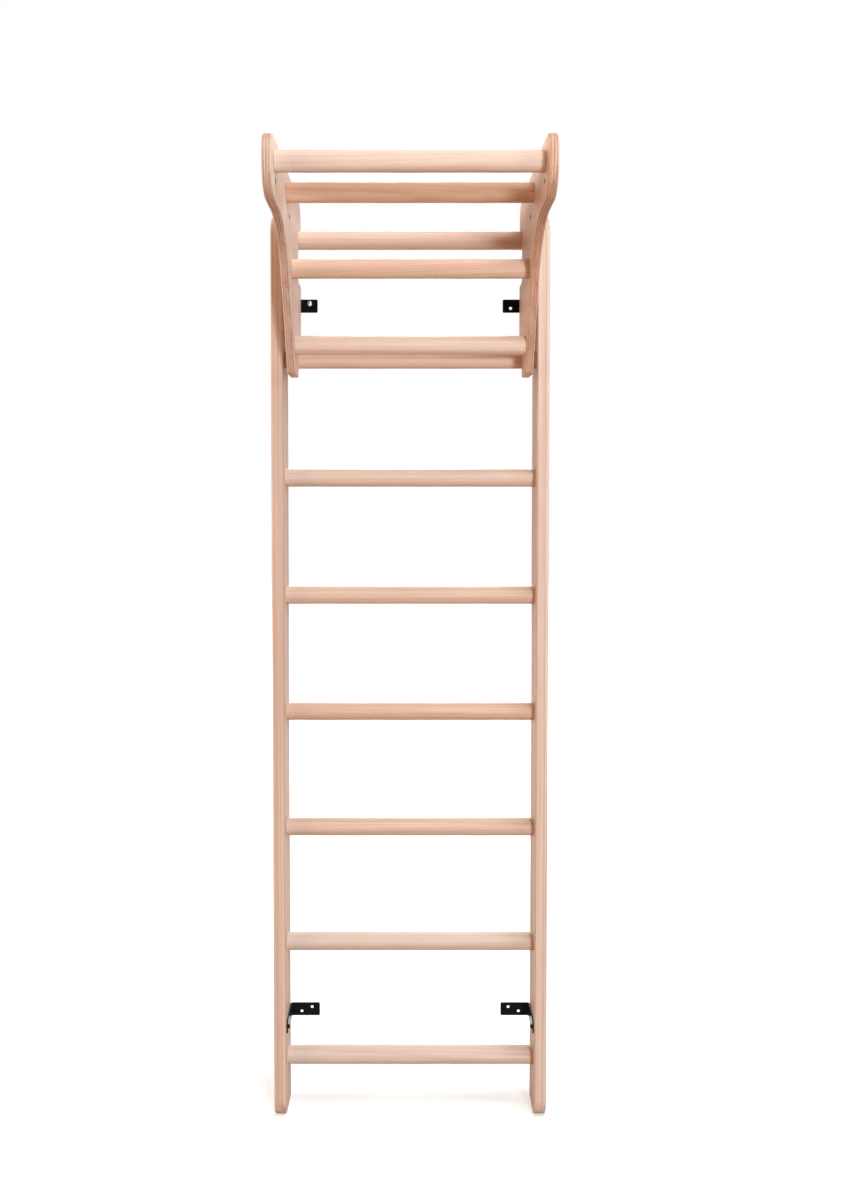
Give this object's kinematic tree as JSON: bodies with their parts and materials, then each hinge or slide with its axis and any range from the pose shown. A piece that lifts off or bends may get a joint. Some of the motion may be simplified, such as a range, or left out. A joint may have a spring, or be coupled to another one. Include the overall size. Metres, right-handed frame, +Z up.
{
  "type": "swedish wall bars",
  "caption": "Wooden gymnastic wall ladder with round rungs between two uprights, wall brackets, and a removable pull-up unit whose plywood side plates hook on the top rungs.",
  "frame": {"origin": "on the wall plane at floor level, midway between the two uprights", "axes": "+X to the right as seen from the front, +Y towards the wall, +Z up"},
  "size_m": [0.614, 0.5852, 2.0633],
  "materials": {
    "pine": "clear satin lacquer",
    "beech": "clear satin lacquer",
    "birch_plywood": "clear satin lacquer",
    "black_steel": "black powder coat",
    "zinc_steel": "bright zinc"
  },
  "bodies": {
    "ladder": {"upright_left": "pine", "upright_right": "pine", "rung_1": "beech", "rung_2": "beech", "rung_3": "beech", "rung_4": "beech", "rung_5": "beech", "rung_6": "beech", "rung_7": "beech", "rung_8": "beech", "rung_screw_1_left": "zinc_steel", "rung_screw_1_right": "zinc_steel", "rung_screw_2_left": "zinc_steel", "rung_screw_2_right": "zinc_steel", "rung_screw_3_left": "zinc_steel", "rung_screw_3_right": "zinc_steel", "rung_screw_4_left": "zinc_steel", "rung_screw_4_right": "zinc_steel", "rung_screw_5_left": "zinc_steel", "rung_screw_5_right": "zinc_steel", "rung_screw_6_left": "zinc_steel", "rung_screw_6_right": "zinc_steel", "rung_screw_7_left": "zinc_steel", "rung_screw_7_right": "zinc_steel", "rung_screw_8_left": "zinc_steel", "rung_screw_8_right": "zinc_steel", "bracket_lower_left": "black_steel", "bracket_lower_right": "black_steel", "bracket_upper_left": "black_steel", "bracket_upper_right": "black_steel", "bracket_lower_left_screw_1": "black_steel", "bracket_lower_left_screw_2": "black_steel", "bracket_lower_right_screw_1": "black_steel", "bracket_lower_right_screw_2": "black_steel", "bracket_upper_left_screw_1": "black_steel", "bracket_upper_left_screw_2": "black_steel", "bracket_upper_right_screw_1": "black_steel", "bracket_upper_right_screw_2": "black_steel", "wall_screw": "zinc_steel"},
    "pull_up_unit": {"side_plate_left": "birch_plywood", "side_plate_right": "birch_plywood", "front_grip": "beech", "middle_grip": "beech", "inner_grip": "beech", "lower_grip": "beech", "front_grip_screw_left": "zinc_steel", "front_grip_screw_right": "zinc_steel", "middle_grip_screw_left": "zinc_steel", "middle_grip_screw_right": "zinc_steel", "inner_grip_screw_left": "zinc_steel", "inner_grip_screw_right": "zinc_steel", "lower_grip_screw_left": "zinc_steel", "lower_grip_screw_right": "zinc_steel"}
  },
  "joints": [
    {"name": "unit_lift", "type": "slide", "parent": "ladder", "child": "pull_up_unit", "axis": [0, 0, 1], "range_m": [0, 0.07]}
  ]
}
